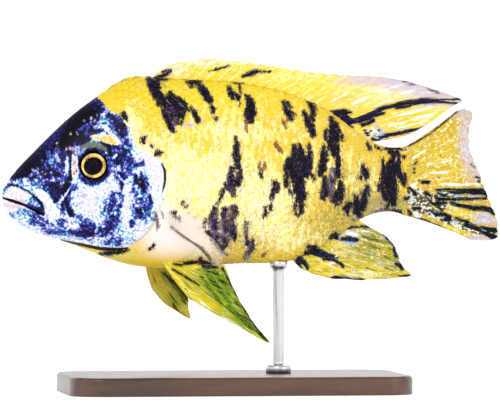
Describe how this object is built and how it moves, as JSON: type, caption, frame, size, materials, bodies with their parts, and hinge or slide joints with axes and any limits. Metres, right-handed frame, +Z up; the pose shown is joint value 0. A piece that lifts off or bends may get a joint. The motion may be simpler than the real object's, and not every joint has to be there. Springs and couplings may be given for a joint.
{
  "type": "peacock cichlid display model",
  "caption": "Still life-size fish with a blotched yellow body, dark blue head and spread fins, held level above a flat plinth by one short rod.",
  "frame": {"origin": "on the floor under the middle of the whole model's length and width", "axes": "+X towards the fish's tail, +Y towards the fish's right side, +Z up; the fish's left side faces -Y"},
  "size_m": [0.1356, 0.052, 0.0901],
  "materials": {
    "head_skin": "wet, dark blue skin with cyan and lilac speckles",
    "lip_skin": "wet, pale pink and violet skin of the lower lip and chin",
    "body_skin": "wet, scaled yellow skin with black and brown blotches",
    "fin_membrane": "thin ribbed yellow fin with lilac edge and dark bands",
    "eye_glass": "clear, glossy eye with a black pupil in a gold ring",
    "stand_wood": "dark stained wood with a satin varnish",
    "stand_steel": "turned and brushed steel"
  },
  "bodies": {
    "root": {"head": "head_skin", "lower_jaw": "lip_skin", "gill_cover_left": "head_skin", "gill_cover_right": "head_skin", "torso": "body_skin", "tail_stalk": "body_skin", "dorsal_fin_spiny": "fin_membrane", "dorsal_fin_soft": "fin_membrane", "anal_fin": "fin_membrane", "tail_fin": "fin_membrane", "pectoral_fin_left": "fin_membrane", "pectoral_fin_right": "fin_membrane", "pelvic_fin_left": "fin_membrane", "pelvic_fin_right": "fin_membrane", "eye_left": "eye_glass", "eye_right": "eye_glass", "stand_base": "stand_wood", "stand_rod": "stand_steel"}
  },
  "joints": []
}
